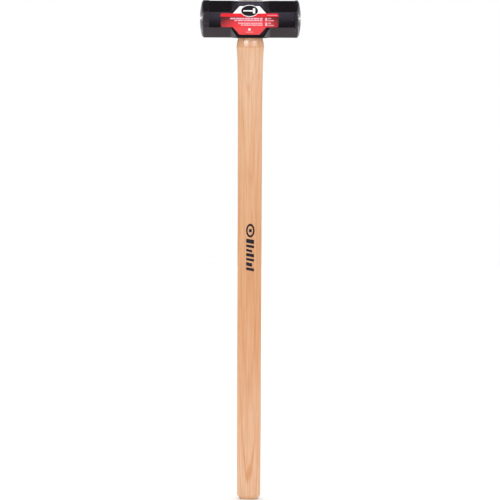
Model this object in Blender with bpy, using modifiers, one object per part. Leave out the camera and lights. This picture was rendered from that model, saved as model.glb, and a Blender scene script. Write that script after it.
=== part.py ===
"""Double-faced sledge hammer: an octagonal steel head on a straight wooden handle.

Units are metres and +Z is up. The origin is the middle of the handle's butt end.
The head's striking axis runs along X, and its labelled cheek faces -Y.
"""

import math

import bmesh
import bpy

# Whole tool
TOTAL_LENGTH = 0.8128
FIT_GAP = 0.0003

# Head: an octagonal bar with a square middle around the eye
HEAD_LENGTH = 0.1627
HEAD_WIDTH = 0.060
HEAD_CHAMFER = 0.017
CHEEK_HALF_AT_EDGE = 0.0215
CHEEK_HALF_AT_BAND = 0.0320
STOCK_OVER = 0.005  # extra bar at each end, turned away with the faces
HEAD_BOTTOM = TOTAL_LENGTH - HEAD_WIDTH
HEAD_CENTRE = TOTAL_LENGTH - HEAD_WIDTH / 2

# Striking faces: a flat centre, a crown, a short shoulder, then a steep bevel out past the corners
FACE_FLAT_RADIUS = 0.008
CROWN_RADIUS = 0.118
CROWN_EDGE = 0.026
SHOULDER_EDGE = 0.0278
SHOULDER_SLOPE_SHARE = 0.75
BEVEL_ANGLE = math.radians(33)
TURNED_RADIUS = 0.046

# Eye and tenon: half-widths along X; the section is an oval
OVAL_RATIO = 0.76
EYE_BOTTOM_HALF = 0.0202
EYE_WAIST_HALF = 0.0176
EYE_TOP_HALF = 0.0196
EYE_FLARE_POWER = 1.5
EYE_FLARE_LIMIT = 1.2  # in half head widths from the head's middle; straight-sided beyond
TENON_TOP = TOTAL_LENGTH - 0.0005

# Handle below the head. The shoulder swells out to a ridge, then decays into the shaft.
BUTT_FLAT_HALF = 0.0140
RIDGE_HEIGHT = 0.7369
RIDGE_HALF = 0.0222
SHOULDER_TOP = 0.7512
SHOULDER_TOP_HALF = 0.0200
SHOULDER_POWER = 1.6
SHAFT_HALF = 0.0195
SWELL_LENGTH = 0.035
SWELL_DEPTHS = (0.004, 0.009, 0.016, 0.026, 0.040, 0.060, 0.090)  # stations below the ridge
# The shaft's lower part, as height above the butt and half-width along X
SHAFT_SHAPE = ((0.0066, 0.0190), (0.0500, 0.0193), (0.1300, 0.0196), (0.3000, SHAFT_HALF))

# Wooden wedge in its kerf
WEDGE_LENGTH = 0.045
WEDGE_HALF_TOP = 0.0040
WEDGE_HALF_TIP = 0.0008
KERF_DEPTH = 0.050

# Steel wedges, driven across the wooden one
STEEL_WEDGE_OFFSET = 0.0085
STEEL_WEDGE_WIDTH = 0.018
STEEL_WEDGE_LENGTH = 0.028
STEEL_WEDGE_HALF_TOP = 0.0016
STEEL_WEDGE_HALF_TIP = 0.0005
BARB_COUNT = 4
BARB_DEPTH = 0.0004

# Label: a rounded bar with a trapezium above it and another below
LABEL_CENTRE_X = -0.0013
LABEL_THICKNESS = 0.0003
LABEL_BAR_HALF = 0.0467
LABEL_BAR_TOP = 0.0103
LABEL_BAR_BOTTOM = -0.0121
LABEL_CORNER = 0.0030
LABEL_TRAPEZIUM_TOP = 0.0220
LABEL_TRAPEZIUM_BOTTOM = -0.0240
LABEL_TRAPEZIUM_WIDE = 0.0270
LABEL_TRAPEZIUM_NARROW = 0.0160

HEAD_STEPS = 72
HANDLE_STEPS = 64


def start_empty():
    """Remove what the scene holds and make the two collections."""
    for item in list(bpy.data.objects):
        bpy.data.objects.remove(item, do_unlink=True)
    collections = []
    for name in ("sledge_hammer", "cutters"):
        collection = bpy.data.collections.new(name)
        bpy.context.scene.collection.children.link(collection)
        collections.append(collection)
    return collections


def add_object(name, data, collection):
    item = bpy.data.objects.new(name, data)
    collection.objects.link(item)
    return item


def as_cutter(item):
    item.hide_render = True
    item.display_type = "WIRE"
    return item


def mesh_from(name, build):
    """A new mesh filled in by build(bm)."""
    bm = bmesh.new()
    build(bm)
    bmesh.ops.recalc_face_normals(bm, faces=bm.faces)
    mesh = bpy.data.meshes.new(name)
    bm.to_mesh(mesh)
    bm.free()
    return mesh


def hull(name, corners, collection):
    """The convex solid around a few corners."""

    def build(bm):
        for corner in corners:
            bm.verts.new(corner)
        bmesh.ops.convex_hull(bm, input=bm.verts)

    return add_object(name, mesh_from(name, build), collection)


def turned(name, profile, steps, collection):
    """Screw a profile of (radius, height) points, listed from top to bottom, about Z."""
    mesh = bpy.data.meshes.new(name)
    points = [(radius, 0, height) for radius, height in profile]
    mesh.from_pydata(points, [(i, i + 1) for i in range(len(points) - 1)], [])
    item = add_object(name, mesh, collection)
    screw = item.modifiers.new("turn", "SCREW")
    screw.angle = math.tau
    screw.steps = steps
    screw.render_steps = steps
    screw.use_smooth_shade = True
    screw.use_merge_vertices = True
    screw.merge_threshold = 0.00001
    return item


def boolean(item, cutter, operation):
    step = item.modifiers.new(cutter.name, "BOOLEAN")
    step.operation = operation
    step.object = cutter
    step.solver = "EXACT"


def material(name, colour, roughness, metallic):
    made = bpy.data.materials.new(name)
    made.use_nodes = True
    shader = made.node_tree.nodes["Principled BSDF"]
    shader.inputs["Base Color"].default_value = (*colour, 1)
    shader.inputs["Roughness"].default_value = roughness
    shader.inputs["Metallic"].default_value = metallic
    return made


def face_profile():
    """Half of the turned envelope of the head: (radius, distance from the head's middle)."""
    half = HEAD_LENGTH / 2
    points = [(0, half), (FACE_FLAT_RADIUS, half)]
    crown_steps = 5
    sag = 0
    for i in range(1, crown_steps + 1):
        radius = FACE_FLAT_RADIUS + (CROWN_EDGE - FACE_FLAT_RADIUS) * i / crown_steps
        sag = (radius**2 - FACE_FLAT_RADIUS**2) / (2 * CROWN_RADIUS)
        points.append((radius, half - sag))
    sag += (SHOULDER_EDGE - CROWN_EDGE) * math.tan(BEVEL_ANGLE) * SHOULDER_SLOPE_SHARE
    points.append((SHOULDER_EDGE, half - sag))
    sag += (TURNED_RADIUS - SHOULDER_EDGE) * math.tan(BEVEL_ANGLE)
    points.append((TURNED_RADIUS, half - sag))
    return points


def chamfer_cutters(collection):
    """One corner wedge mirrored to all eight; its inner end slopes so the cheek stays square."""
    half = HEAD_WIDTH / 2
    band = half - HEAD_CHAMFER
    over = 0.005
    slope = (CHEEK_HALF_AT_BAND - CHEEK_HALF_AT_EDGE) / HEAD_CHAMFER
    section = ((-half - over, band - over), (-band + over, half + over), (-half - over, half + over))
    corners = []
    for y, z in section:
        outside = z - y - (half + band)
        corners.append((CHEEK_HALF_AT_BAND - slope * outside, y, z))
        corners.append((HEAD_LENGTH / 2 + 2 * STOCK_OVER, y, z))
    cutter = hull("chamfer_cutter", corners, collection)
    cutter.location.z = HEAD_CENTRE
    mirror = cutter.modifiers.new("all_corners", "MIRROR")
    mirror.use_axis = (True, True, True)
    mirror.use_mirror_merge = False
    return as_cutter(cutter)


def eye_profile(gap, top, bottom):
    """The hourglass of the eye, smaller by gap, between two heights."""
    levels = 8
    points = [(0, top)]
    for i in range(levels + 1):
        height = top + (bottom - top) * i / levels
        points.append((eye_half(height) - gap, height))
    points.append((0, bottom))
    return points


def eye_half(height):
    """The eye's half-width along X: narrowest at the head's middle, flaring to both mouths."""
    offset = (height - HEAD_CENTRE) / (HEAD_WIDTH / 2)
    mouth = EYE_TOP_HALF if offset > 0 else EYE_BOTTOM_HALF
    flare = min(abs(offset), EYE_FLARE_LIMIT) ** EYE_FLARE_POWER
    return EYE_WAIST_HALF + (mouth - EYE_WAIST_HALF) * flare


def make_head(parts, cutters):
    def block(bm):
        bmesh.ops.create_cube(bm, size=1)
        bmesh.ops.scale(bm, vec=(HEAD_LENGTH + 2 * STOCK_OVER, HEAD_WIDTH, HEAD_WIDTH), verts=bm.verts)

    head = add_object("head", mesh_from("head", block), parts)
    head.location.z = HEAD_CENTRE
    boolean(head, chamfer_cutters(cutters), "DIFFERENCE")

    half_profile = face_profile()
    profile = half_profile + [(radius, -x) for radius, x in reversed(half_profile)]
    envelope = as_cutter(turned("face_envelope", profile, HEAD_STEPS, cutters))
    envelope.location.z = HEAD_CENTRE
    envelope.rotation_euler.y = math.pi / 2
    boolean(head, envelope, "INTERSECT")

    over = 0.004
    profile = eye_profile(0, TOTAL_LENGTH + over, HEAD_BOTTOM - over)
    eye = as_cutter(turned("eye_cutter", profile, HANDLE_STEPS, cutters))
    eye.scale.y = OVAL_RATIO
    boolean(head, eye, "DIFFERENCE")
    head.data.materials.append(material("black_enamel", (0.02, 0.02, 0.022), 0.25, 0))
    return head


def tapered_slab(name, half_top, half_tip, top, tip, half_length, collection):
    """A slab along X whose thickness in Y falls from half_top at top to half_tip at tip."""
    corners = [
        (x, side * half, z)
        for x in (-half_length, half_length)
        for side in (-1, 1)
        for half, z in ((half_top, top), (half_tip, tip))
    ]
    return hull(name, corners, collection)


def steel_slot(name, x, collection):
    """The slot that a steel wedge fills, with the fit gap all round, open at the top."""
    over = 0.003
    taper = (STEEL_WEDGE_HALF_TOP - STEEL_WEDGE_HALF_TIP) / STEEL_WEDGE_LENGTH
    half_width = STEEL_WEDGE_WIDTH / 2 + FIT_GAP
    half_top = STEEL_WEDGE_HALF_TOP + FIT_GAP + taper * over
    half_tip = STEEL_WEDGE_HALF_TIP + FIT_GAP
    bottom = TENON_TOP - STEEL_WEDGE_LENGTH - FIT_GAP
    corners = [
        (x + side * half, y, z)
        for y in (-half_width, half_width)
        for side in (-1, 1)
        for half, z in ((half_top, TENON_TOP + over), (half_tip, bottom))
    ]
    return as_cutter(hull(name, corners, collection))


def shoulder_half(height):
    """Half-width of the rounded shoulder between the ridge and the head."""
    share = (height - RIDGE_HEIGHT) / (SHOULDER_TOP - RIDGE_HEIGHT)
    return SHOULDER_TOP_HALF + (RIDGE_HALF - SHOULDER_TOP_HALF) * (1 - share**SHOULDER_POWER)


def swell_half(height):
    """Half-width of the shaft as it grows towards the ridge."""
    return SHAFT_HALF + (RIDGE_HALF - SHAFT_HALF) * math.exp((height - RIDGE_HEIGHT) / SWELL_LENGTH)


def handle_profile():
    profile = eye_profile(FIT_GAP, TENON_TOP, HEAD_BOTTOM)[:-1]
    shoulder_steps = 6
    for i in range(shoulder_steps + 1):
        height = SHOULDER_TOP + (RIDGE_HEIGHT - SHOULDER_TOP) * i / shoulder_steps
        profile.append((shoulder_half(height), height))
    for depth in SWELL_DEPTHS:
        height = RIDGE_HEIGHT - depth
        profile.append((swell_half(height), height))
    profile += [(half, height) for height, half in reversed(SHAFT_SHAPE)]
    return profile + [(BUTT_FLAT_HALF, 0), (0, 0)]


def make_handle(parts, cutters, slots):
    profile = handle_profile()
    handle = turned("handle", profile, HANDLE_STEPS, parts)
    handle.scale.y = OVAL_RATIO

    over = 0.003
    slope = (WEDGE_HALF_TOP - WEDGE_HALF_TIP) / WEDGE_LENGTH
    kerf = tapered_slab(
        "kerf_cutter",
        WEDGE_HALF_TOP + FIT_GAP + slope * over,
        WEDGE_HALF_TIP + FIT_GAP,
        TENON_TOP + over,
        TENON_TOP - KERF_DEPTH,
        EYE_BOTTOM_HALF + over,
        cutters,
    )
    boolean(handle, as_cutter(kerf), "DIFFERENCE")
    for slot in slots:
        boolean(handle, slot, "DIFFERENCE")
    handle.data.materials.append(material("hickory", (0.72, 0.45, 0.25), 0.5, 0))
    return handle


def make_wood_wedge(parts, cutters, slots):
    wedge = tapered_slab(
        "wood_wedge",
        WEDGE_HALF_TOP,
        WEDGE_HALF_TIP,
        TENON_TOP,
        TENON_TOP - WEDGE_LENGTH,
        EYE_BOTTOM_HALF,
        parts,
    )
    over = 0.003
    profile = eye_profile(FIT_GAP, TENON_TOP + over, TENON_TOP - WEDGE_LENGTH - over)
    limit = as_cutter(turned("wedge_limit", profile, HANDLE_STEPS, cutters))
    limit.scale.y = OVAL_RATIO
    boolean(wedge, limit, "INTERSECT")
    for slot in slots:
        boolean(wedge, slot, "DIFFERENCE")
    wedge.data.materials.append(material("wedge_wood", (0.62, 0.40, 0.22), 0.6, 0))
    return wedge


def flat_outline(name, outline, thickness, collection):
    """A closed flat outline in X and Z, as thick as asked along Y."""
    curve = bpy.data.curves.new(name, "CURVE")
    curve.dimensions = "2D"
    curve.fill_mode = "BOTH"
    curve.extrude = thickness / 2
    spline = curve.splines.new("POLY")
    spline.points.add(len(outline) - 1)
    for point, (x, z) in zip(spline.points, outline):
        point.co = (x, z, 0, 1)
    spline.use_cyclic_u = True
    item = add_object(name, curve, collection)
    item.rotation_euler.x = math.pi / 2
    return item


def make_steel_wedge(name, x, parts):
    """A barbed wedge: each side steps in under every barb and runs out again to the next."""
    side = [(STEEL_WEDGE_HALF_TOP, 0)]
    for i in range(1, BARB_COUNT + 1):
        depth = STEEL_WEDGE_LENGTH * i / (BARB_COUNT + 1)
        taper = (STEEL_WEDGE_HALF_TOP - STEEL_WEDGE_HALF_TIP) * i / (BARB_COUNT + 1)
        half = STEEL_WEDGE_HALF_TOP - taper
        side.append((half, -depth))
        side.append((half - BARB_DEPTH, -depth - BARB_DEPTH))
    side.append((STEEL_WEDGE_HALF_TIP, -STEEL_WEDGE_LENGTH))
    outline = side + [(-half, z) for half, z in reversed(side)]
    wedge = flat_outline(name, outline, STEEL_WEDGE_WIDTH, parts)
    wedge.location = (x, 0, TENON_TOP)
    wedge.data.materials.append(material(name + "_steel", (0.35, 0.35, 0.36), 0.4, 1))
    return wedge


def rounded_corner(x, z, quarter):
    """Points round a bar corner, quarter by quarter from +X towards +Z."""
    steps = 4
    points = []
    for i in range(steps + 1):
        angle = math.pi / 2 * (quarter + i / steps)
        points.append((x + LABEL_CORNER * math.cos(angle), z + LABEL_CORNER * math.sin(angle)))
    return points


def make_label(parts):
    inner = LABEL_BAR_HALF - LABEL_CORNER
    high = LABEL_BAR_TOP - LABEL_CORNER
    low = LABEL_BAR_BOTTOM + LABEL_CORNER
    outline = rounded_corner(inner, high, 0)
    outline += [(LABEL_TRAPEZIUM_WIDE, LABEL_BAR_TOP), (LABEL_TRAPEZIUM_NARROW, LABEL_TRAPEZIUM_TOP)]
    outline += [(-LABEL_TRAPEZIUM_NARROW, LABEL_TRAPEZIUM_TOP), (-LABEL_TRAPEZIUM_WIDE, LABEL_BAR_TOP)]
    outline += rounded_corner(-inner, high, 1)
    outline += rounded_corner(-inner, low, 2)
    outline += [(-LABEL_TRAPEZIUM_WIDE, LABEL_BAR_BOTTOM), (-LABEL_TRAPEZIUM_NARROW, LABEL_TRAPEZIUM_BOTTOM)]
    outline += [(LABEL_TRAPEZIUM_NARROW, LABEL_TRAPEZIUM_BOTTOM), (LABEL_TRAPEZIUM_WIDE, LABEL_BAR_BOTTOM)]
    outline += rounded_corner(inner, low, 3)
    label = flat_outline("front_label", outline, LABEL_THICKNESS, parts)
    label.location = (LABEL_CENTRE_X, -HEAD_WIDTH / 2 - FIT_GAP - LABEL_THICKNESS / 2, HEAD_CENTRE)
    label.data.materials.append(material("label_print", (0.70, 0.05, 0.06), 0.35, 0))
    return label


def main():
    parts, cutters = start_empty()
    slots = [
        steel_slot("slot_left", -STEEL_WEDGE_OFFSET, cutters),
        steel_slot("slot_right", STEEL_WEDGE_OFFSET, cutters),
    ]
    make_head(parts, cutters)
    make_handle(parts, cutters, slots)
    make_wood_wedge(parts, cutters, slots)
    make_steel_wedge("steel_wedge_left", -STEEL_WEDGE_OFFSET, parts)
    make_steel_wedge("steel_wedge_right", STEEL_WEDGE_OFFSET, parts)
    make_label(parts)


main()
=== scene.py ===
import math

import bmesh
import bpy
import numpy as np
from mathutils import Matrix, Vector, noise
from mathutils.bvhtree import BVHTree
from mathutils.geometry import tessellate_polygon


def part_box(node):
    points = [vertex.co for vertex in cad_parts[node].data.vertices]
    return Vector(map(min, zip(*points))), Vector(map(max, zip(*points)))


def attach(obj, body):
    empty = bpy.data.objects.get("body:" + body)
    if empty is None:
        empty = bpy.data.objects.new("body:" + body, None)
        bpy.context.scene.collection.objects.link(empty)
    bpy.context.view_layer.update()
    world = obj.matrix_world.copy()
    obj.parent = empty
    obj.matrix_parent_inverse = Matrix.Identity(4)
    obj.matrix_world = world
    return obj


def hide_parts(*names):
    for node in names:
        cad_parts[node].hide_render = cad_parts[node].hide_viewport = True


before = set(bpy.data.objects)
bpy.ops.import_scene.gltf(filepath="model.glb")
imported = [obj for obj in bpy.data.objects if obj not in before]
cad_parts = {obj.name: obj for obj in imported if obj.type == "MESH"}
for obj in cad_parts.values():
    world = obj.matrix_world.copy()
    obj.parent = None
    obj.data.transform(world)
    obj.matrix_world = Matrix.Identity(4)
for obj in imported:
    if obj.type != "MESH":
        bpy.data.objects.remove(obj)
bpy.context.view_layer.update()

# Places and sizes, in metres, from the frame
HEAD_LOW, HEAD_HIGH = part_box("head")
HANDLE_LOW, HANDLE_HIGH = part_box("handle")
LABEL_LOW, LABEL_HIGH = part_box("front_label")
HEAD_LENGTH = HEAD_HIGH.x - HEAD_LOW.x
HEAD_HALF = (HEAD_HIGH.z - HEAD_LOW.z) / 2
HEAD_CENTRE = (HEAD_HIGH.z + HEAD_LOW.z) / 2
LABEL_CENTRE_X = (LABEL_LOW.x + LABEL_HIGH.x) / 2

# Head
CHAMFER = 0.017
CHEEK_INNER = 0.0205
CHEEK_OUTER = 0.0325
CHEEK_CORNER = 0.0012
EDGE_SETBACK = 0.0007
BAND_CROWN = 0.00014
RIM_SETBACK = 0.0004
FACE_FLAT_RADIUS = 0.008
CROWN_RADIUS = 0.118
CROWN_EDGE = 0.026
SHOULDER_EDGE = 0.0278
SHOULDER_SHARE = 0.75
BEVEL_SLOPE = math.tan(math.radians(33))
SLIDE_FROM = 0.050
RIM_STEPS = 4
FACE_RINGS = (
    0.0284, 0.0278, 0.0271, 0.0260, 0.0250, 0.0235, 0.0220, 0.0200, 0.0180,
    0.0160, 0.0140, 0.0120, 0.0100, 0.0085, 0.0075, 0.0060, 0.0040, 0.0020,
)
PAINT_INSET = 0.00002
FORGED_HEIGHT = 0.00002
HEAD_SHARP_ANGLE = 28

# Eye and handle, as half-widths along X; sections are ovals
OVAL_RATIO = 0.76
EYE_BOTTOM_HALF = 0.0202
EYE_WAIST_HALF = 0.0176
EYE_TOP_HALF = 0.0196
EYE_EDGE = 0.0005
EYE_FLARE_POWER = 1.5
TENON_GAP = 0.00005
RIDGE_HEIGHT = 0.7369
RIDGE_HALF = 0.0222
SHOULDER_TOP = 0.7512
SHOULDER_TOP_HALF = 0.0200
SHOULDER_POWER = 1.6
SHAFT_HALF = 0.0195
SWELL_LENGTH = 0.035
SHAFT_SHAPE = ((0.0066, 0.0190), (0.0500, 0.0193), (0.1300, 0.0196), (0.3000, SHAFT_HALF))
BUTT_FLAT_HALF = 0.0140
LUMP_HEIGHT = 0.00022
HEWN_HEIGHT = 0.00012
KERF_HALF_LENGTH = 0.025
KERF_TIP_HALF = 0.0009
SLOT_TIP_HALF = 0.0006
CUTTER_RISE = 0.002
WEDGE_GAP = 0.0001

# Wood: the pith stands behind the handle and leans with height
PITH_X = 0.0005
PITH_Y = 0.0469
GRAIN_SLOPE = 0.0154
RING_SPACING = 0.0026
PALE_WOOD = (0.745, 0.475, 0.315, 1)
DARK_WOOD = (0.635, 0.297, 0.130, 1)
PORE_WOOD = (0.420, 0.190, 0.085, 1)
WET_PALE_WOOD = (0.715, 0.415, 0.245, 1)
WET_DARK_WOOD = (0.620, 0.275, 0.112, 1)
TONE_STATIONS = (
    (0.0, (0.98, 0.99, 0.98)),
    (0.064, (0.98, 0.97, 0.95)),
    (0.290, (0.876, 0.740, 0.575)),
    (0.420, (0.878, 0.772, 0.615)),
    (0.532, (0.90, 0.815, 0.685)),
    (0.702, (0.98, 1.01, 1.00)),
    (0.760, (1.02, 1.02, 0.98)),
)

# Label, from its own middle: a bar between two trapeziums, with the red stripe along its top
BAR_HALF = 0.0467
BAR_TOP = 0.0103
BAR_BOTTOM = -0.0121
BAR_RADIUS = 0.0030
TRAPEZIUM_TOP = 0.0220
TRAPEZIUM_BOTTOM = -0.0240
TRAPEZIUM_WIDE = 0.0270
TRAPEZIUM_NARROW = 0.0160
STRIPE_BOTTOM = 0.0048
BADGE_MIDDLE = (0.0, 0.0144)
BADGE_HALF = (0.0146, 0.0096)
BADGE_RIM = 0.0010
FILM_LOW = 0.00005
FILM_TOP = 0.00016
INK_LAYER = 0.00002
DASHES_RIGHT = 0.0216
UPPER_DASHES = ((0.0020, 0.0023, -0.0313, 11), (-0.0010, 0.0021, -0.0243, 9))
LOWER_DASHES = ((-0.0057, 0.0022, -0.0182, 10), (-0.0086, 0.0021, -0.0139, 8))
SIDE_ROWS = (0.0006, -0.0071)

# Ink stamp on the handle: an upright ring over a column of slanted dashes
STAMP_X = 0.0012
INK_LOW = 0.00003
INK_HIGH = 0.00006
RING_MIDDLE = 0.4400
RING_OUTSIDE = (0.0069, 0.0112)
RING_INSIDE = (0.0043, 0.0076)
RING_POINTS = 48
DASH_TOP = 0.4286
DASH_STEPS = (0.0094, 0.0070, 0.0068, 0.0080, 0.0068, 0.0085, 0.0074)
DASH_GAP = 0.0027
DASH_LEAN = 0.0012
DASH_LEFT = -0.0066
DASH_RIGHT = 0.0062
SHORT_DASH_RIGHT = 0.0030

# Studio
FLOOR_RADIUS = 4.0
FLOOR_DROP = 0.0002
SUN_SPREAD = 40
CARD_DISTANCE = 2.0
FRONT_CARD_DISTANCE = 3.0
FRONT_CARD_HEIGHT = 0.915

# The view: a long lens a little above the head, and a slight roll
LENS = 401.3
VIEW_ELEVATION = 5.3
VIEW_DISTANCE = 9.055
VIEW_ROLL = 0.223
VIEW_TARGET = (0.0008, 0.0, 0.4071)


# ---------------------------------------------------------------- helpers


def smooth_step(value):
    value = min(max(value, 0), 1)
    return value * value * (3 - 2 * value)


def link(item):
    bpy.context.scene.collection.objects.link(item)
    return item


def mesh_object(name, bm, sharp_angle=None):
    """A shown object from a bmesh, smooth shaded where its faces meet at less than sharp_angle."""
    mesh = bpy.data.meshes.new(name)
    bm.to_mesh(mesh)
    bm.free()
    if sharp_angle is not None:
        mesh.shade_smooth()
        mesh.set_sharp_from_angle(angle=math.radians(sharp_angle))
    return link(bpy.data.objects.new(name, mesh))


def loft(name, rows, tips, sharp_angle=35):
    """Rings of points joined by quads, closed at each end by a fan around its tip."""
    bm = bmesh.new()
    rings = [[bm.verts.new(point) for point in row] for row in rows]
    count = len(rings[0])
    for i in range(len(rings) - 1):
        for j in range(count):
            k = (j + 1) % count
            bm.faces.new((rings[i][j], rings[i][k], rings[i + 1][k], rings[i + 1][j]))
    for ring, tip in ((rings[0], tips[0]), (rings[-1], tips[1])):
        middle = bm.verts.new(tip)
        for j in range(count):
            bm.faces.new((ring[j], ring[(j + 1) % count], middle))
    bmesh.ops.recalc_face_normals(bm, faces=bm.faces)
    return mesh_object(name, bm, sharp_angle)


def cut(item, cutters):
    """Subtract each cutter from item, then remove it."""
    for cutter in cutters:
        step = item.modifiers.new("cut", "BOOLEAN")
        step.operation = "DIFFERENCE"
        step.solver = "EXACT"
        step.object = cutter
    bpy.context.view_layer.update()
    evaluated = item.evaluated_get(bpy.context.evaluated_depsgraph_get())
    mesh = bpy.data.meshes.new_from_object(evaluated)
    item.modifiers.clear()
    item.data = mesh
    for cutter in cutters:
        bpy.data.objects.remove(cutter, do_unlink=True)


def oval_ring(half, height, count):
    points = []
    for j in range(count):
        angle = math.tau * j / count
        points.append((half * math.cos(angle), half * OVAL_RATIO * math.sin(angle), height))
    return points


# ---------------------------------------------------------------- materials


def feed(tree, socket, value):
    if isinstance(value, bpy.types.NodeSocket):
        tree.links.new(value, socket)
    else:
        socket.default_value = value


def add(tree, kind, inputs=None, **settings):
    """A node with its settings; inputs are values, or sockets to link from."""
    made = tree.nodes.new("ShaderNode" + kind)
    for key, value in settings.items():
        setattr(made, key, value)
    for key, value in (inputs or {}).items():
        feed(tree, made.inputs[key], value)
    return made


def calc(tree, operation, *values):
    made = add(tree, "Math", dict(enumerate(values)), operation=operation)
    return made.outputs[0]


def band(tree, value, low, high):
    """0 below low, 1 above high, smooth between."""
    made = add(tree, "MapRange", {"Value": value, "From Min": low, "From Max": high})
    made.interpolation_type = "SMOOTHSTEP"
    return made.outputs[0]


def blend_colours(tree, factor, first, second):
    made = add(tree, "Mix", data_type="RGBA")
    feed(tree, made.inputs[0], factor)
    feed(tree, made.inputs[6], first)
    feed(tree, made.inputs[7], second)
    return made.outputs[2]


def stretched(tree, scale):
    """Object coordinates multiplied axis by axis."""
    place = add(tree, "TexCoord").outputs["Object"]
    made = add(tree, "VectorMath", {0: place, 1: scale}, operation="MULTIPLY")
    return made.outputs[0]


def noise_of(tree, scale, detail=2.0, roughness=0.5):
    """Noise over stretched coordinates; scale is in features a metre along X, Y and Z."""
    made = add(tree, "TexNoise", {"Vector": stretched(tree, scale), "Scale": 1.0})
    made.inputs["Detail"].default_value = detail
    made.inputs["Roughness"].default_value = roughness
    return made.outputs["Fac"]


def bump(tree, height, distance, strength=1.0, normal=None):
    made = add(tree, "Bump", {"Height": height, "Distance": distance, "Strength": strength})
    if normal is not None:
        feed(tree, made.inputs["Normal"], normal)
    return made.outputs[0]


def new_material(name, **constants):
    """A material with one Principled shader, whose constant inputs are given by name."""
    made = bpy.data.materials.new(name)
    made.use_nodes = True
    tree = made.node_tree
    tree.nodes.clear()
    output = tree.nodes.new("ShaderNodeOutputMaterial")
    shader = tree.nodes.new("ShaderNodeBsdfPrincipled")
    tree.links.new(shader.outputs[0], output.inputs["Surface"])
    for key, value in constants.items():
        shader.inputs[key.replace("_", " ")].default_value = value
    return made, tree, shader


def object_axes(tree):
    place = add(tree, "TexCoord").outputs["Object"]
    split = add(tree, "SeparateXYZ", {0: place})
    return split.outputs[0], split.outputs[1], split.outputs[2]


def enamel_material():
    """Glossy black paint over a forged surface: orange peel, dust specks, and scuffed ends."""
    made, tree, shader = new_material("black_enamel", IOR=1.5, Specular_Tint=(1.0, 0.82, 0.93, 1))
    x = object_axes(tree)[0]
    ends = calc(tree, "ADD", band(tree, x, -0.0655, -0.0680), band(tree, x, 0.0712, 0.0735))
    scuffed = band(tree, calc(tree, "ABSOLUTE", x), 0.064, 0.069)

    mottle = noise_of(tree, (60, 60, 60), 3)
    base = blend_colours(tree, mottle, (0.0034, 0.0027, 0.0033, 1), (0.0058, 0.0046, 0.0055, 1))
    specks = band(tree, noise_of(tree, (900, 900, 900), 1), 0.70, 0.76)
    base = blend_colours(tree, calc(tree, "MULTIPLY", specks, 0.10), base, (0.30, 0.30, 0.32, 1))
    scratch = band(tree, noise_of(tree, (700, 700, 160), 2), 0.66, 0.72)
    scratch = calc(tree, "MULTIPLY", scratch, scuffed)
    base = blend_colours(tree, calc(tree, "MULTIPLY", scratch, 0.55), base, (0.28, 0.28, 0.29, 1))
    feed(tree, shader.inputs["Base Color"], base)

    rough = add(tree, "MapRange", {"Value": mottle, "To Min": 0.08, "To Max": 0.15}).outputs[0]
    rough = calc(tree, "ADD", rough, calc(tree, "MULTIPLY", ends, 0.22))
    feed(tree, shader.inputs["Roughness"], rough)

    peel = bump(tree, noise_of(tree, (420, 420, 420), 2), 0.00002)
    peel = bump(tree, scratch, 0.00003, normal=peel)
    feed(tree, shader.inputs["Normal"], peel)
    return made


def face_steel_material():
    """Turned and polished steel with fine rings about the striking axis."""
    made, tree, shader = new_material("turned_steel", Metallic=1.0)
    y, z = object_axes(tree)[1:]
    height = calc(tree, "SUBTRACT", z, HEAD_CENTRE)
    across = add(tree, "CombineXYZ", {1: y, 2: height}).outputs[0]
    radius = add(tree, "VectorMath", {0: across}, operation="LENGTH").outputs["Value"]
    wobble = calc(tree, "MULTIPLY", noise_of(tree, (80, 80, 80), 2), 2.0)
    phase = calc(tree, "ADD", calc(tree, "MULTIPLY", radius, 9000), wobble)
    rings = calc(tree, "SINE", phase)
    tone = noise_of(tree, (160, 160, 160), 3)
    base = blend_colours(tree, tone, (0.50, 0.49, 0.48, 1), (0.62, 0.61, 0.60, 1))
    feed(tree, shader.inputs["Base Color"], base)
    rough = add(tree, "MapRange", {"Value": tone, "To Min": 0.09, "To Max": 0.18}).outputs[0]
    feed(tree, shader.inputs["Roughness"], rough)
    feed(tree, shader.inputs["Normal"], bump(tree, rings, 0.000004))
    return made


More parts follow.
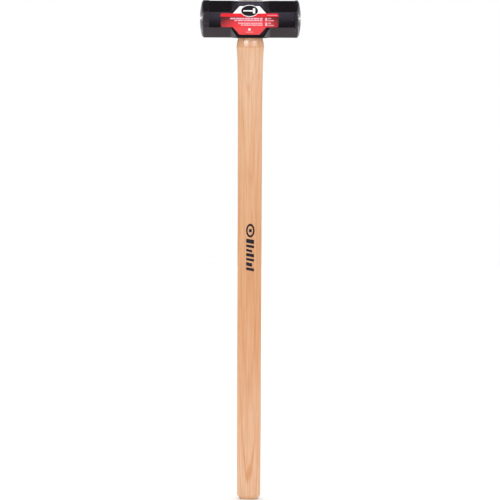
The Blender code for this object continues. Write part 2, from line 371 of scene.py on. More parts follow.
def wood_colour(tree, pale, dark, pore):
    """Ring-porous wood about a pith behind the handle: its colour, and its fibres as a height."""
    x, y, z = object_axes(tree)
    drift = calc(tree, "MULTIPLY", calc(tree, "SUBTRACT", noise_of(tree, (14, 14, 2.2), 2), 0.5), 0.012)
    shake = calc(tree, "MULTIPLY", calc(tree, "SUBTRACT", noise_of(tree, (160, 160, 9), 2), 0.5), 0.0012)
    beside = calc(tree, "ADD", calc(tree, "SUBTRACT", x, PITH_X), drift)
    rise = calc(tree, "MULTIPLY", z, GRAIN_SLOPE)
    behind = calc(tree, "SUBTRACT", calc(tree, "SUBTRACT", y, PITH_Y), rise)
    behind = calc(tree, "ADD", behind, shake)
    across = add(tree, "CombineXYZ", {0: beside, 1: behind}).outputs[0]
    radius = add(tree, "VectorMath", {0: across}, operation="LENGTH").outputs["Value"]
    phase = calc(tree, "FRACT", calc(tree, "DIVIDE", radius, RING_SPACING))
    ring_node = add(tree, "ValToRGB", {0: phase})
    ring = ring_node.color_ramp
    ring.elements[0].position = 0.0
    ring.elements[0].color = (0.25, 0.25, 0.25, 1)
    ring.elements[1].position = 1.0
    ring.elements[1].color = (0.2, 0.2, 0.2, 1)
    for place, level in ((0.45, 0.0), (0.72, 0.25), (0.86, 1.0), (0.94, 0.75)):
        stop = ring.elements.new(place)
        stop.color = (level, level, level, 1)
    streaks = noise_of(tree, (300, 300, 10), 4, 0.62)
    broad = noise_of(tree, (70, 70, 3.0), 2)
    strength = add(tree, "MapRange", {"Value": broad, "From Min": 0.3, "From Max": 0.7}).outputs[0]
    late = calc(tree, "MULTIPLY", ring_node.outputs["Color"], strength)
    tint = calc(tree, "MULTIPLY", calc(tree, "SUBTRACT", streaks, 0.5), 2.1)
    tint = calc(tree, "ADD", tint, calc(tree, "MULTIPLY", late, 0.38))
    lines = calc(tree, "POWER", ring_node.outputs["Color"], 3.0)
    butt = calc(tree, "MULTIPLY", band(tree, z, 0.130, 0.070), lines)
    tint = calc(tree, "ADD", tint, calc(tree, "MULTIPLY", butt, 0.85))
    tint = calc(tree, "ADD", tint, 0.33)
    colour = blend_colours(tree, tint, pale, dark)
    pores = band(tree, noise_of(tree, (1500, 1500, 70), 1), 0.64, 0.74)
    colour = blend_colours(tree, calc(tree, "MULTIPLY", pores, 0.14), colour, pore)
    fibre = noise_of(tree, (1100, 1100, 14), 3, 0.6)
    return colour, fibre


def toned(tree, colour):
    """The handle's drift in tone along its length: paler at the head, most amber in the middle."""
    z = object_axes(tree)[2]
    share = add(tree, "MapRange", {"Value": z, "From Max": TONE_STATIONS[-1][0]}).outputs[0]
    ramp_node = add(tree, "ValToRGB", {0: share})
    ramp = ramp_node.color_ramp
    ramp.elements[0].color = (*TONE_STATIONS[0][1], 1)
    ramp.elements[1].color = (*TONE_STATIONS[-1][1], 1)
    for height, tone in TONE_STATIONS[1:-1]:
        stop = ramp.elements.new(height / TONE_STATIONS[-1][0])
        stop.color = (*tone, 1)
    made = add(tree, "VectorMath", {0: colour, 1: ramp_node.outputs["Color"]}, operation="MULTIPLY")
    return made.outputs[0]


def hickory_material(name, lacquered):
    """The handle's wood; above the ridge it is under a thick, clear, lumpy coat of lacquer."""
    constants = {"Coat_Weight": 1.0, "Coat_Roughness": 0.05} if lacquered else {}
    made, tree, shader = new_material(name, **constants)
    shades = (WET_PALE_WOOD, WET_DARK_WOOD) if lacquered else (PALE_WOOD, DARK_WOOD)
    colour, fibre = wood_colour(tree, *shades, PORE_WOOD)
    colour = toned(tree, colour)
    feed(tree, shader.inputs["Base Color"], colour)
    rough = add(tree, "MapRange", {"Value": fibre, "To Min": 0.42, "To Max": 0.62}).outputs[0]
    feed(tree, shader.inputs["Roughness"], rough)
    feed(tree, shader.inputs["Normal"], bump(tree, fibre, 0.00003))
    if lacquered:
        lumps = noise_of(tree, (560, 560, 480), 2)
        feed(tree, shader.inputs["Coat Normal"], bump(tree, lumps, 0.00030))
    return made


def wedge_wood_material():
    made, tree, shader = new_material("wedge_wood")
    colour, fibre = wood_colour(
        tree, (0.60, 0.36, 0.21, 1), (0.42, 0.21, 0.10, 1), (0.20, 0.10, 0.05, 1)
    )
    feed(tree, shader.inputs["Base Color"], colour)
    shader.inputs["Roughness"].default_value = 0.6
    feed(tree, shader.inputs["Normal"], bump(tree, fibre, 0.00005))
    return made


def wedge_steel_material():
    made, tree, shader = new_material("wedge_steel", Metallic=1.0)
    tone = noise_of(tree, (700, 700, 120), 3)
    base = blend_colours(tree, tone, (0.20, 0.19, 0.18, 1), (0.42, 0.41, 0.40, 1))
    feed(tree, shader.inputs["Base Color"], base)
    rough = add(tree, "MapRange", {"Value": tone, "To Min": 0.3, "To Max": 0.55}).outputs[0]
    feed(tree, shader.inputs["Roughness"], rough)
    feed(tree, shader.inputs["Normal"], bump(tree, tone, 0.00008))
    return made


def print_material(name, colour, spread=0.06):
    """Printed ink on a slightly glossy film, with a little unevenness."""
    made, tree, shader = new_material(name, IOR=1.45, Specular_IOR_Level=0.25)
    tone = noise_of(tree, (500, 500, 500), 3)
    darker = tuple(channel * (1 - spread) for channel in colour) + (1,)
    feed(tree, shader.inputs["Base Color"], blend_colours(tree, tone, (*colour, 1), darker))
    rough = add(tree, "MapRange", {"Value": tone, "To Min": 0.30, "To Max": 0.42}).outputs[0]
    feed(tree, shader.inputs["Roughness"], rough)
    feed(tree, shader.inputs["Normal"], bump(tree, noise_of(tree, (150, 150, 150), 1), 0.00003))
    return made


def label_panel_material():
    """The label's dark band: red in the middle and below, shading to brown-black above and at both ends."""
    made, tree, shader = new_material("label_panel", IOR=1.45, Specular_IOR_Level=0.25)
    x, _, z = object_axes(tree)
    beside = calc(tree, "SUBTRACT", x, LABEL_CENTRE_X)
    streak = calc(tree, "SUBTRACT", noise_of(tree, (30, 30, 260), 2), 0.5)
    beside = calc(tree, "ADD", beside, calc(tree, "MULTIPLY", streak, 0.008))
    drop = calc(tree, "SUBTRACT", HEAD_CENTRE + 0.0045, z)
    left = band(tree, calc(tree, "ADD", beside, calc(tree, "MULTIPLY", drop, 1.25)), -0.0472, -0.0005)
    near_drop = calc(tree, "MINIMUM", drop, 0.008)
    right = calc(tree, "SUBTRACT", beside, calc(tree, "MULTIPLY", near_drop, 1.25))
    right = band(tree, right, 0.0478, 0.0108)
    under_stripe = band(tree, drop, 0.009, -0.002)
    kept = calc(tree, "SUBTRACT", 1.0, calc(tree, "MULTIPLY", under_stripe, 0.55))
    glow = calc(tree, "MULTIPLY", calc(tree, "MULTIPLY", left, right), kept)
    colour = blend_colours(tree, glow, (0.058, 0.013, 0.015, 1), (0.76, 0.042, 0.050, 1))
    feed(tree, shader.inputs["Base Color"], colour)
    shader.inputs["Roughness"].default_value = 0.34
    feed(tree, shader.inputs["Normal"], bump(tree, noise_of(tree, (150, 150, 150), 1), 0.00003))
    return made


# ---------------------------------------------------------------- head


def face_sag(radius):
    """How far the turned end lies behind its flat middle, at a radius."""
    crown = (min(radius, CROWN_EDGE) ** 2 - FACE_FLAT_RADIUS**2) / (2 * CROWN_RADIUS)
    turn = min(max(radius - CROWN_EDGE, 0), SHOULDER_EDGE - CROWN_EDGE)
    bevel = max(radius - SHOULDER_EDGE, 0)
    return max(crown, 0) + turn * BEVEL_SLOPE * SHOULDER_SHARE + bevel * BEVEL_SLOPE


def chamfer_at(x):
    """The chamfer's leg at a distance from the middle: nearly none round the eye, full at the ends."""
    share = (abs(x) - CHEEK_INNER) / (CHEEK_OUTER - CHEEK_INNER)
    share = min(max(share, 0), 1)
    eased = 0.55 * share + 0.45 * smooth_step(share)
    return CHEEK_CORNER + (CHAMFER - CHEEK_CORNER) * eased


def section(x):
    """The head's outline at x, as (y, z) points: eight crowned sides and eight rounded corners."""
    leg = chamfer_at(x)
    half = HEAD_HALF
    corners = []
    for sy, sz in ((-1, 1), (1, 1), (1, -1), (-1, -1)):
        side = Vector((sy * half, sz * (half - leg)))
        flat = Vector((sy * (half - leg), sz * half))
        corners += [side, flat] if sy * sz < 0 else [flat, side]
    setback = min(EDGE_SETBACK, 0.3 * leg * math.sqrt(2))
    crown = BAND_CROWN * smooth_step(leg / CHAMFER)
    points = []
    side_steps, corner_steps = 12, 5
    for i in range(8):
        here, after, before = corners[i], corners[(i + 1) % 8], corners[i - 1]
        to_before = (before - here).normalized()
        to_after = (after - here).normalized()
        length = (after - here).length
        inward = -(here + after).normalized()
        start, end = here + to_before * setback, here + to_after * setback
        stretch = []
        for k in range(corner_steps + 1):
            t = k / corner_steps
            stretch.append(start * (1 - t) ** 2 + here * 2 * t * (1 - t) + end * t**2)
        for k in range(1, side_steps):
            stretch.append(here + to_after * (setback + (length - 2 * setback) * k / side_steps))
        for point in stretch:
            along = (point - here).dot(to_after) / length * 2 - 1
            points.append(point + inward * crown * min(along * along, 1))
    return points


def side_row(x, outline, ends):
    """The head's sides at x; past the run-outs each point slides out towards its own end."""
    slide = smooth_step((x - SLIDE_FROM) / (max(ends) - SLIDE_FROM))
    return [Vector((x + (end - RIM_SETBACK - x) * slide, y, z)) for (y, z), end in zip(outline, ends)]


def rim_row(share, outline, ends):
    """The rounded edge between a side and the bevel, from the side (0) to the bevel (1)."""
    row = []
    for (y, z), end in zip(outline, ends):
        radius = math.hypot(y, z)
        inner = radius - RIM_SETBACK
        start = Vector((end - RIM_SETBACK, radius))
        corner = Vector((end, radius))
        finish = Vector((HEAD_LENGTH / 2 - face_sag(inner), inner))
        place = start * (1 - share) ** 2 + corner * 2 * share * (1 - share) + finish * share**2
        row.append(Vector((place.x, y / radius * place.y, z / radius * place.y)))
    return row


def face_row(outline, radius_at):
    """A ring on the turned end; radius_at gives its radius from the outline's own."""
    row = []
    for y, z in outline:
        outer = math.hypot(y, z)
        here = radius_at(outer)
        row.append(Vector((HEAD_LENGTH / 2 - face_sag(here), y / outer * here, z / outer * here)))
    return row


def settle(point, forged):
    """A point moved in under the paint, with a forging's unevenness, and up to the head's height."""
    uneven = noise.noise(Vector((point.x * 45, point.y * 60, point.z * 60))) * FORGED_HEIGHT if forged else 0
    radial = Vector((0, point.y, point.z)).normalized()
    return point - radial * (PAINT_INSET + uneven) + Vector((0, 0, HEAD_CENTRE))


def make_head():
    outline = section(HEAD_LENGTH / 2)
    ends = [HEAD_LENGTH / 2 - face_sag(point.length) for point in outline]

    stations = list(np.linspace(0, 0.018, 7)) + list(np.linspace(0.019, 0.035, 33))
    stations += list(np.linspace(0.0375, max(ends), 24))
    forged = [side_row(x, section(x), ends) for x in stations]
    turned = [rim_row((k + 1) / RIM_STEPS, outline, ends) for k in range(RIM_STEPS)]
    for share in (1 / 4, 2 / 4, 3 / 4):
        turned.append(face_row(outline, lambda outer: outer - RIM_SETBACK
                               + (FACE_RINGS[0] - outer + RIM_SETBACK) * share))
    for ring in FACE_RINGS:
        turned.append(face_row(outline, lambda outer: ring))

    right = [(row, True) for row in forged] + [(row, False) for row in turned]
    left = [([Vector((-p.x, p.y, p.z)) for p in row], kind) for row, kind in reversed(right[1:])]
    rows = [[settle(point, kind) for point in row] for row, kind in left + right]
    tips = ((-HEAD_LENGTH / 2, 0, HEAD_CENTRE), (HEAD_LENGTH / 2, 0, HEAD_CENTRE))
    head = loft("head_forging", rows, tips, HEAD_SHARP_ANGLE)

    cut(head, [eye_cutter()])
    head.data.materials.clear()
    head.data.materials.append(enamel_material())
    head.data.materials.append(face_steel_material())
    bare_from = HEAD_LENGTH / 2 - face_sag(SHOULDER_EDGE)
    for face in head.data.polygons:
        face.material_index = 1 if abs(face.center.x) > bare_from else 0
    head.data.shade_smooth()
    head.data.set_sharp_from_angle(angle=math.radians(HEAD_SHARP_ANGLE))
    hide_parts("head")
    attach(head, "root")
    return head


# ---------------------------------------------------------------- handle


def eye_half(height):
    offset = (height - HEAD_CENTRE) / HEAD_HALF
    mouth = EYE_TOP_HALF if offset > 0 else EYE_BOTTOM_HALF
    return EYE_WAIST_HALF + (mouth - EYE_WAIST_HALF) * min(abs(offset), 1.0) ** EYE_FLARE_POWER


def eye_cutter():
    """The hourglass eye, running past both faces, with its two mouths eased."""
    top, bottom = HEAD_CENTRE + HEAD_HALF, HEAD_CENTRE - HEAD_HALF
    levels = [(eye_half(top) + EYE_EDGE * 3, top + EYE_EDGE * 2), (eye_half(top) + EYE_EDGE, top)]
    steps = 14
    for i in range(steps + 1):
        height = top - EYE_EDGE + (bottom - top + 2 * EYE_EDGE) * i / steps
        levels.append((eye_half(height), height))
    levels.append((eye_half(bottom) + EYE_EDGE, bottom))
    levels.append((eye_half(bottom) + EYE_EDGE * 3, bottom - EYE_EDGE * 2))
    rows = [oval_ring(half, height, 96) for half, height in levels]
    return loft("cutter", rows, ((0, 0, levels[0][1]), (0, 0, levels[-1][1])))


def shaft_half(height):
    """The shaft's half-width: a smooth curve through its stations, plus the swell under the ridge."""
    heights = [station[0] for station in SHAFT_SHAPE]
    halves = [station[1] for station in SHAFT_SHAPE]
    if height >= heights[-1]:
        base = SHAFT_HALF
    else:
        i = max(k for k in range(len(heights) - 1) if heights[k] <= max(height, heights[0]))
        share = smooth_step((height - heights[i]) / (heights[i + 1] - heights[i]))
        base = halves[i] + (halves[i + 1] - halves[i]) * share
    return base + (RIDGE_HALF - SHAFT_HALF) * math.exp((height - RIDGE_HEIGHT) / SWELL_LENGTH)


def shoulder_half(height):
    share = (height - RIDGE_HEIGHT) / (SHOULDER_TOP - RIDGE_HEIGHT)
    return SHOULDER_TOP_HALF + (RIDGE_HALF - SHOULDER_TOP_HALF) * (1 - max(share, 0) ** SHOULDER_POWER)


def handle_stations():
    """(height, half-width) from the tenon's top to the butt."""
    top = HANDLE_HIGH.z
    bottom = HEAD_CENTRE - HEAD_HALF
    stations = [(top, eye_half(top) - TENON_GAP - 0.0003)]
    for height in np.linspace(top - 0.0003, bottom, 16):
        stations.append((height, eye_half(height) - TENON_GAP))
    for height in np.linspace(SHOULDER_TOP, RIDGE_HEIGHT, 22):
        stations.append((height, shoulder_half(height)))
    for depth in np.linspace(0.0003, 0.06, 26):
        stations.append((RIDGE_HEIGHT - depth, shaft_half(RIDGE_HEIGHT - depth)))
    chamfer_top = SHAFT_SHAPE[0][0]
    for height in np.linspace(RIDGE_HEIGHT - 0.064, chamfer_top + 0.0012, 150):
        stations.append((height, shaft_half(height)))
    side = shaft_half(chamfer_top)
    round_over = ((0.0007, 0.00005), (0.0000, 0.0004), (-0.0008, 0.0009))
    stations += [(chamfer_top + up, side - back) for up, back in round_over]
    stations.append((0.0030, BUTT_FLAT_HALF + (side - BUTT_FLAT_HALF) * 0.44))
    last_turn = ((0.0007, 0.0005), (0.00025, 0.0), (0.0, -0.0007))
    stations += [(height, BUTT_FLAT_HALF + out) for height, out in last_turn]
    stations += [(0.0, half) for half in (0.011, 0.008, 0.005, 0.002)]
    return stations


def make_handle():
    count = 128
    rows = []
    for height, half in handle_stations():
        row = []
        coated = smooth_step((height - RIDGE_HEIGHT) / 0.002)
        coated *= smooth_step((SHOULDER_TOP + 0.001 - height) / 0.002)
        for x, y, z in oval_ring(half, height, count):
            out = Vector((x, y, 0)).normalized()
            lump = noise.noise(Vector((x * 190, y * 190, z * 150))) * LUMP_HEIGHT
            hewn = noise.noise(Vector((x * 30, y * 30, z * 9))) * HEWN_HEIGHT
            plain = height > SHOULDER_TOP or height < 0.008
            move = 0 if plain else hewn + lump * coated
            row.append(Vector((x, y, z)) + out * move)
        rows.append(row)
    tips = ((0, 0, HANDLE_HIGH.z), (0, 0, HANDLE_LOW.z))
    handle = loft("handle_wood", rows, tips, sharp_angle=40)
    cut(handle, wedge_cutters())

    mesh = handle.data
    mesh.materials.clear()
    mesh.materials.append(hickory_material("hickory", False))
    mesh.materials.append(hickory_material("hickory_lacquered", True))
    for face in mesh.polygons:
        face.material_index = 1 if face.center.z > RIDGE_HEIGHT else 0
    mesh.shade_smooth()
    mesh.set_sharp_from_angle(angle=math.radians(40))
    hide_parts("handle")
    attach(handle, "root")
    return handle


def wedge_cutters():
    """The kerf and the two slots: each wedge's own solid, a little larger and open at the top."""
    cutters = []
    for node in ("wood_wedge", "steel_wedge_left", "steel_wedge_right"):
        low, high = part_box(node)
        middle = (low.x + high.x) / 2
        lengthways = node == "wood_wedge"
        tip_half = KERF_TIP_HALF if lengthways else SLOT_TIP_HALF
        top_half = (high.y - low.y) / 2 if lengthways else (high.x - low.x) / 2
        rise = CUTTER_RISE
        slope = (top_half - tip_half) / (high.z - low.z)
        below = (low.z - WEDGE_GAP, tip_half + WEDGE_GAP)
        above = (high.z + rise, top_half + WEDGE_GAP + slope * rise)
        bm = bmesh.new()
        for height, half in (below, above):
            for a in (-1, 1):
                for b in (-1, 1):
                    if lengthways:
                        bm.verts.new((a * KERF_HALF_LENGTH, b * half, height))
                    else:
                        bm.verts.new((middle + a * half, b * (high.y + WEDGE_GAP), height))
        bmesh.ops.convex_hull(bm, input=bm.verts)
        bmesh.ops.recalc_face_normals(bm, faces=bm.faces)
        cutters.append(mesh_object("cutter", bm))
    return cutters


# ---------------------------------------------------------------- label


def front_of(item):
    """A function giving the y of an object's front surface at (x, z)."""
    bm = bmesh.new()
    bm.from_mesh(item.data)
    tree = BVHTree.FromBMesh(bm)
    bm.free()

    def front(x, z):
        hit = tree.ray_cast(Vector((x, -1, z)), Vector((0, 1, 0)))
        return hit[0].y if hit[0] is not None else None

    return front


def arc(x, z, radius, start, end, steps):
    points = []
    for i in range(steps + 1):
        angle = math.radians(start + (end - start) * i / steps)
        points.append((x + radius * math.cos(angle), z + radius * math.sin(angle)))
    return points


def bar(left, right, low, high, radius=0.0003):
    """A rounded rectangle's outline."""
    points = arc(right - radius, high - radius, radius, 0, 90, 4)
    points += arc(left + radius, high - radius, radius, 90, 180, 4)
    points += arc(left + radius, low + radius, radius, 180, 270, 4)
    return points + arc(right - radius, low + radius, radius, 270, 360, 4)


def oval(x, z, half_x, half_z, steps=40):
    points = []
    for i in range(steps):
        angle = math.tau * i / steps
        points.append((x + half_x * math.cos(angle), z + half_z * math.sin(angle)))
    return points


def sheet_on(name, outlines, front, low, high, step, origin=(0, 0)):
    """Flat shapes laid on a surface: from low to high above it, following it every step."""
    bm = bmesh.new()
    for outline in outlines:
        points = [Vector((x + origin[0], 0, z + origin[1])) for x, z in outline]
        verts = [bm.verts.new(point) for point in points]
        for corners in tessellate_polygon([points]):
            bm.faces.new([verts[i] for i in corners])
    xs = [vert.co.x for vert in bm.verts]
    zs = [vert.co.z for vert in bm.verts]
    for axis, values in ((Vector((1, 0, 0)), xs), (Vector((0, 0, 1)), zs)):
        first, last = min(values), max(values)
        for k in range(1, int((last - first) / step) + 1):
            geometry = bm.verts[:] + bm.edges[:] + bm.faces[:]
            bmesh.ops.bisect_plane(bm, geom=geometry, plane_co=axis * (first + k * step), plane_no=axis)
    bmesh.ops.recalc_face_normals(bm, faces=bm.faces)
    grown = bmesh.ops.extrude_face_region(bm, geom=bm.faces[:])
    tops = {item for item in grown["geom"] if isinstance(item, bmesh.types.BMVert)}
    for vert in bm.verts:
        surface = front(vert.co.x, vert.co.z)
        vert.co.y = surface - (high if vert in tops else low)
    bmesh.ops.recalc_face_normals(bm, faces=bm.faces)
    return mesh_object(name, bm, 40)


def label_outlines():
    """The whole film, the white part above, the dark band and the red part below."""
    inner = BAR_HALF - BAR_RADIUS
    high, low = BAR_TOP - BAR_RADIUS, BAR_BOTTOM + BAR_RADIUS
    right_top = arc(inner, high, BAR_RADIUS, 0, 90, 6)
    left_top = arc(-inner, high, BAR_RADIUS, 90, 180, 6)
    left_low = arc(-inner, low, BAR_RADIUS, 180, 270, 6)
    right_low = arc(inner, low, BAR_RADIUS, 270, 360, 6)
    upper = [(TRAPEZIUM_WIDE, BAR_TOP), (TRAPEZIUM_NARROW, TRAPEZIUM_TOP),
             (-TRAPEZIUM_NARROW, TRAPEZIUM_TOP), (-TRAPEZIUM_WIDE, BAR_TOP)]
    lower = [(-TRAPEZIUM_WIDE, BAR_BOTTOM), (-TRAPEZIUM_NARROW, TRAPEZIUM_BOTTOM),
             (TRAPEZIUM_NARROW, TRAPEZIUM_BOTTOM), (TRAPEZIUM_WIDE, BAR_BOTTOM)]
    whole = right_top + upper + left_top + left_low + lower + right_low
    dark = [(-BAR_HALF, STRIPE_BOTTOM)] + left_low + right_low + [(BAR_HALF, STRIPE_BOTTOM)]
    return whole, upper, dark, lower


def make_label(head):
    """The film with its printed parts, each a thin layer over the one before."""
    front = front_of(head)
    red = print_material("label_red", (0.78, 0.015, 0.026))
    soft_red = print_material("label_soft_red", (0.77, 0.060, 0.064))
    white = print_material("label_white", (0.90, 0.90, 0.91), 0.03)
    black = print_material("label_black", (0.006, 0.0025, 0.0035))
    pale_pink = print_material("label_pale_pink", (0.82, 0.46, 0.54))
    pink = print_material("label_pink", (0.84, 0.42, 0.46))
    dim_pink = print_material("label_dim_pink", (0.66, 0.36, 0.40))

    def place(name, outlines, level, material, step=0.004):
        low = FILM_TOP + INK_LAYER * (level - 1) if level else FILM_LOW
        high = FILM_TOP + INK_LAYER * level
        piece = sheet_on(name, outlines, front, low, high, step, (LABEL_CENTRE_X, HEAD_CENTRE))
        piece.data.materials.append(material)
        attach(piece, "root")
        return piece

    whole, upper, dark, lower = label_outlines()
    film = place("label_film", [whole], 0, red)
    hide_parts("front_label")
    place("label_white_panel", [upper], 1, white)
    place("label_dark_panel", [dark], 1, label_panel_material())
    place("label_lower_panel", [lower], 1, soft_red)

    place("label_badge_rim", [oval(*BADGE_MIDDLE, *BADGE_HALF)], 2, white)
    inside = [half - BADGE_RIM for half in BADGE_HALF]
    place("label_badge", [oval(*BADGE_MIDDLE, *inside)], 3, black)
    place("label_badge_mark", hammer_mark(), 4, white)

    place("label_upper_dashes", dashes(UPPER_DASHES), 3, pale_pink, 0.02)
    underline = bar(-0.0060, 0.0062, -0.0202, -0.0194, 0.0002)
    place("label_lower_dashes", dashes(LOWER_DASHES) + [underline], 3, pink, 0.02)
    squares = [bar(0.0252, 0.0284, middle - 0.0026, middle + 0.0026, 0.0006) for middle in SIDE_ROWS]
    place("label_side_squares", squares, 3, pale_pink, 0.02)
    place("label_side_bars", side_bars(), 3, dim_pink, 0.02)
    place("label_dot", [oval(-0.0002, -0.0157, 0.0020, 0.0020, 24)], 3, white)


def hammer_mark():
    """A plain hammer lying on its side: its head and its handle."""
    middle = BADGE_MIDDLE[1]
    head = bar(0.0052, 0.0090, middle - 0.0042, middle + 0.0042, 0.0008)
    return [head, bar(-0.0102, 0.0051, middle - 0.0010, middle + 0.0010, 0.0006)]


def dashes(rows):
    """Plain dashes of uneven length; a row is its middle, height, left end and count."""
    shapes = []
    for middle, height, left, count in rows:
        step = (DASHES_RIGHT - left) / count
        for k in range(count):
            long = 0.84 + 0.10 * math.sin(k * 2.4 + middle * 900)
            start = left + step * k
            shapes.append(bar(start, start + step * long, middle - height / 2, middle + height / 2, 0.0002))
    return shapes


def side_bars():
    """Two short bars beside each square, and a thin one on the stripe above."""
    shapes = [bar(0.0285, 0.0445, 0.0068, 0.0078, 0.0002)]
    for middle in SIDE_ROWS:
        shapes.append(bar(0.0296, 0.0345, middle + 0.0008, middle + 0.0024, 0.0003))
        shapes.append(bar(0.0296, 0.0390, middle - 0.0026, middle - 0.0010, 0.0003))
    return shapes


def stamp_outlines():
    """A ring in short pieces, a block inside it, and a column of slanted dashes under it."""
    shapes = []
    outer = oval(0, RING_MIDDLE, *RING_OUTSIDE, RING_POINTS)
    inner = oval(0, RING_MIDDLE, *RING_INSIDE, RING_POINTS)
    for k in range(RING_POINTS):
        after = (k + 1) % RING_POINTS
        shapes.append([outer[k], outer[after], inner[after], inner[k]])
    shapes.append(bar(-0.0024, 0.0024, RING_MIDDLE - 0.0026, RING_MIDDLE + 0.0026, 0.0008))
    top = DASH_TOP
    for k, step in enumerate(DASH_STEPS, 1):
        right = DASH_RIGHT if k % 3 else SHORT_DASH_RIGHT
        low, high = top - step, top - DASH_GAP
        shapes.append([(DASH_LEFT, low + DASH_LEAN), (right, low - DASH_LEAN),
                       (right, high - DASH_LEAN), (DASH_LEFT, high + DASH_LEAN)])
        top = low
    return shapes


def ink_material():
    """Dark ink, worn through to the wood in places."""
    made, tree, shader = new_material("stamp_ink", Specular_IOR_Level=0.2, Roughness=0.6)
    worn = band(tree, noise_of(tree, (1400, 1400, 500), 3), 0.58, 0.76)
    colour = blend_colours(tree, worn, (0.009, 0.007, 0.014, 1), (0.20, 0.10, 0.07, 1))
    feed(tree, shader.inputs["Base Color"], colour)
    return made


def make_stamp(handle):
    front = front_of(handle)
    stamp = sheet_on("handle_ink_stamp", stamp_outlines(), front, INK_LOW, INK_HIGH, 0.0015, (STAMP_X, 0))
    bm = bmesh.new()
    bm.from_mesh(stamp.data)
    bmesh.ops.remove_doubles(bm, verts=bm.verts, dist=0.000001)
    bm.to_mesh(stamp.data)
    bm.free()
    stamp.data.materials.append(ink_material())
    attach(stamp, "root")


def finish_wedges():
    """The three wedges keep their solids and get their materials."""
    wood, steel = wedge_wood_material(), wedge_steel_material()
    for name, material in (("wood_wedge", wood), ("steel_wedge_left", steel), ("steel_wedge_right", steel)):
        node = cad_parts[name]
        node.data.materials.clear()
        node.data.materials.append(material)


# ---------------------------------------------------------------- studio


def make_floor():
    bm = bmesh.new()
    bmesh.ops.create_circle(bm, cap_ends=True, segments=128, radius=FLOOR_RADIUS)
    floor = mesh_object("studio_floor", bm)
    floor.location.z = -FLOOR_DROP
    made, tree, shader = new_material("floor_paint", Roughness=0.9)
    shader.inputs["Specular IOR Level"].default_value = 0.0
    tone = noise_of(tree, (3, 3, 3), 2)
    paint = blend_colours(tree, tone, (0.86, 0.86, 0.86, 1), (0.88, 0.88, 0.88, 1))
    feed(tree, shader.inputs["Base Color"], paint)
    floor.data.materials.append(made)


def make_world():
    """White behind the object; for light and reflections, a dim room, darker overhead and low in front."""
    world = bpy.data.worlds.new("studio")
    bpy.context.scene.world = world
    world.use_nodes = True
    tree = world.node_tree
    tree.nodes.clear()
    output = tree.nodes.new("ShaderNodeOutputWorld")
    place = add(tree, "TexCoord").outputs["Generated"]
    split = add(tree, "SeparateXYZ", {0: place})
    up = split.outputs[2]
    sky = band(tree, up, 0.0, 0.75)
    room = blend_colours(tree, sky, (0.30, 0.30, 0.32, 1), (0.13, 0.13, 0.14, 1))
    low = band(tree, calc(tree, "ABSOLUTE", calc(tree, "ADD", up, 0.10)), 0.10, 0.04)
    ahead = band(tree, split.outputs[1], -0.90, -0.97)
    room = blend_colours(tree, calc(tree, "MULTIPLY", low, ahead), room, (0.10, 0.10, 0.11, 1))
    seen = add(tree, "LightPath").outputs["Is Camera Ray"]
    colour = blend_colours(tree, seen, room, (1.0, 1.0, 1.0, 1))
    shade = add(tree, "Background", {"Color": colour})
    tree.links.new(shade.outputs[0], output.inputs["Surface"])


def aim(item, target):
    direction = Vector(target) - item.location
    item.rotation_euler = direction.to_track_quat("-Z", "Y").to_euler()


def bearing(azimuth, elevation):
    """A unit direction; azimuth 0 is the camera's side, 90 the right."""
    turn, rise = math.radians(azimuth), math.radians(elevation)
    return Vector((math.sin(turn) * math.cos(rise), -math.cos(turn) * math.cos(rise), math.sin(rise)))


def sun(name, azimuth, elevation, strength):
    """A large soft light that is not seen in reflections."""
    light = bpy.data.lights.new(name, "SUN")
    light.energy = strength
    light.angle = math.radians(SUN_SPREAD)
    item = link(bpy.data.objects.new(name, light))
    item.location = bearing(azimuth, elevation)
    aim(item, (0, 0, 0))
    item.visible_glossy = False


def card(name, place, target, size, radiance, colour=(1, 1, 1), only=None):
    """A rectangular light that is only there to be reflected, by every piece or by one."""
    light = bpy.data.lights.new(name, "AREA")
    light.shape = "RECTANGLE"
    light.size, light.size_y = size
    light.energy = radiance * size[0] * size[1] * math.pi
    light.color = colour
    item = link(bpy.data.objects.new(name, light))
    item.location = place
    aim(item, target)
    item.visible_camera = False
    item.visible_diffuse = False
    if only is not None:
        receivers = bpy.data.collections.new(name + "_receivers")
        receivers.objects.link(only)
        item.light_linking.receiver_collection = receivers


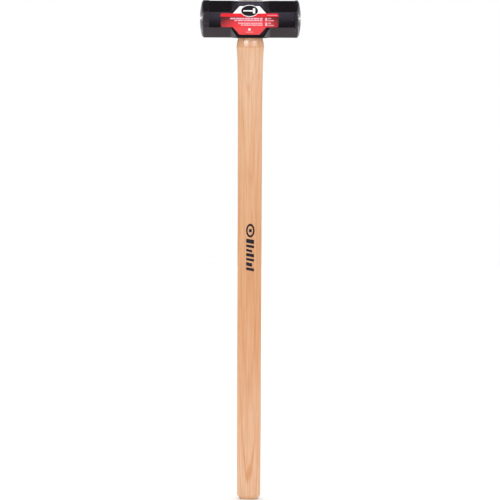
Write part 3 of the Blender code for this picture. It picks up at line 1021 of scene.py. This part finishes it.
def make_lights(head):
    sun("sun_left", -32, 9, 1.10)
    sun("sun_right", 32, 9, 1.10)
    sun("sun_side_left", -105, 15, 1.10)
    sun("sun_side_right", 105, 15, 1.10)
    sun("sun_top", 0, 90, 2.65)

    middle = Vector((0, 0, HEAD_CENTRE))
    for side, name in ((-1, "left"), (1, "right")):
        strip = middle + bearing(side * 114, 1.7) * CARD_DISTANCE
        card("strip_" + name, strip, middle, (0.30, 0.24), 20.0, only=head)
        face_card = middle + bearing(side * 90, 0) * FRONT_CARD_DISTANCE
        card("face_card_" + name, face_card, middle, (1.4, 1.4), 0.8, only=head)
        glint = middle + bearing(side * 158, -2.5) * CARD_DISTANCE
        card("glint_" + name, glint, middle, (0.50, 0.02), 2.2, only=head)

    shoulder = Vector((0, 0, 0.745))
    key_left = shoulder + bearing(-26, 11) * CARD_DISTANCE
    key_right = shoulder + bearing(30, 13.7) * CARD_DISTANCE
    card("key_left", key_left, shoulder, (0.70, 0.55), 13.0, (0.94, 0.96, 1.10))
    card("key_right", key_right, shoulder, (0.60, 0.50), 8.5, (0.94, 0.96, 1.10))

    level = Vector((0, 0, FRONT_CARD_HEIGHT))
    ahead = Vector((0, -FRONT_CARD_DISTANCE, 0))
    card("front_card", level + ahead, level, (0.18, 0.57), 2.0, (0.85, 0.93, 1.15))
    card("back_card", level - ahead, level, (0.42, 0.57), 1.05)


def make_camera():
    data = bpy.data.cameras.new("camera")
    data.lens = LENS
    data.sensor_width = 36.0
    camera = link(bpy.data.objects.new("camera", data))
    rise = math.radians(VIEW_ELEVATION)
    target = Vector(VIEW_TARGET)
    back = Vector((0, -math.cos(rise), math.sin(rise)))
    turn = (-back).to_track_quat("-Z", "Y").to_matrix()
    roll = Matrix.Rotation(math.radians(VIEW_ROLL), 3, "Z")
    camera.matrix_world = Matrix.Translation(target + back * VIEW_DISTANCE) @ (turn @ roll).to_4x4()
    bpy.context.scene.camera = camera


def main():
    make_camera()
    head = make_head()
    handle = make_handle()
    make_label(head)
    make_stamp(handle)
    finish_wedges()
    make_floor()
    make_world()
    make_lights(head)
    bpy.context.scene.view_settings.view_transform = "Standard"


main()
